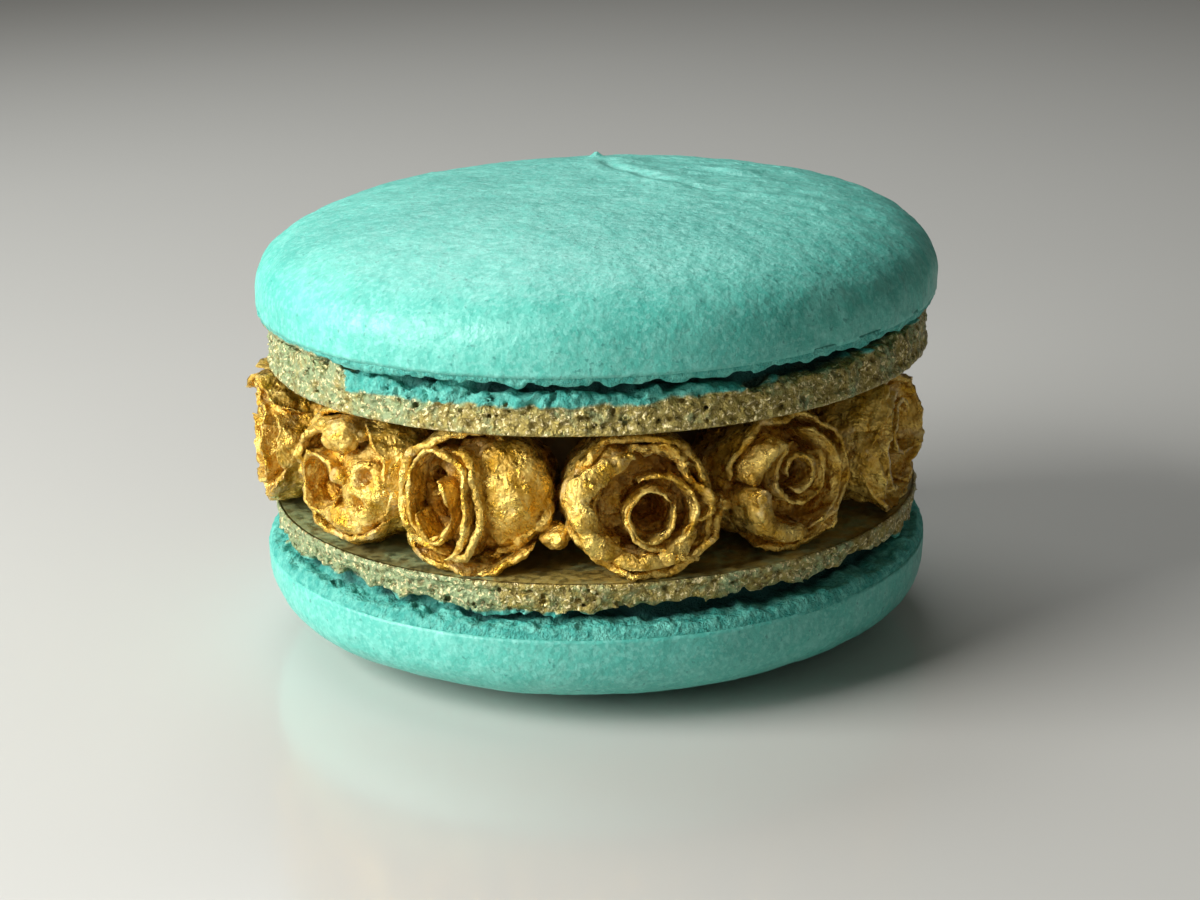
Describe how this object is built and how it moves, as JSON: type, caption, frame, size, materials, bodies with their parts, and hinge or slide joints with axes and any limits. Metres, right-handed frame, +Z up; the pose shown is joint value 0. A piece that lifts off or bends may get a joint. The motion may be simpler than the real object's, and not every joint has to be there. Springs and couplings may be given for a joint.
{
  "type": "french macaron",
  "caption": "Round almond macaron with two domed turquoise shells, ruffled feet, a cream core and a ring of gold roses between them.",
  "frame": {"origin": "middle of the small flat spot on the lower shell that the macaron rests on", "axes": "+Z up through both shells; -Y is the front, the side with the rose that faces straight ahead; +X is to the right seen from the front"},
  "size_m": [0.0453, 0.045, 0.0293],
  "materials": {
    "meringue": "turquoise almond meringue, satin skin with fine mottling, foamy foot dusted with gold",
    "cream": "matt tan cream",
    "gold": "edible gold paint on crumpled cream petals, glossy on the folds, amber in the hollows"
  },
  "bodies": {
    "root": {"top_shell": "meringue", "bottom_shell": "meringue", "filling": "cream", "rose_01": "gold", "rose_02": "gold", "rose_03": "gold", "rose_04": "gold", "rose_05": "gold", "rose_06": "gold", "rose_07": "gold", "rose_08": "gold", "rose_09": "gold", "rose_10": "gold", "rose_11": "gold"}
  },
  "joints": []
}
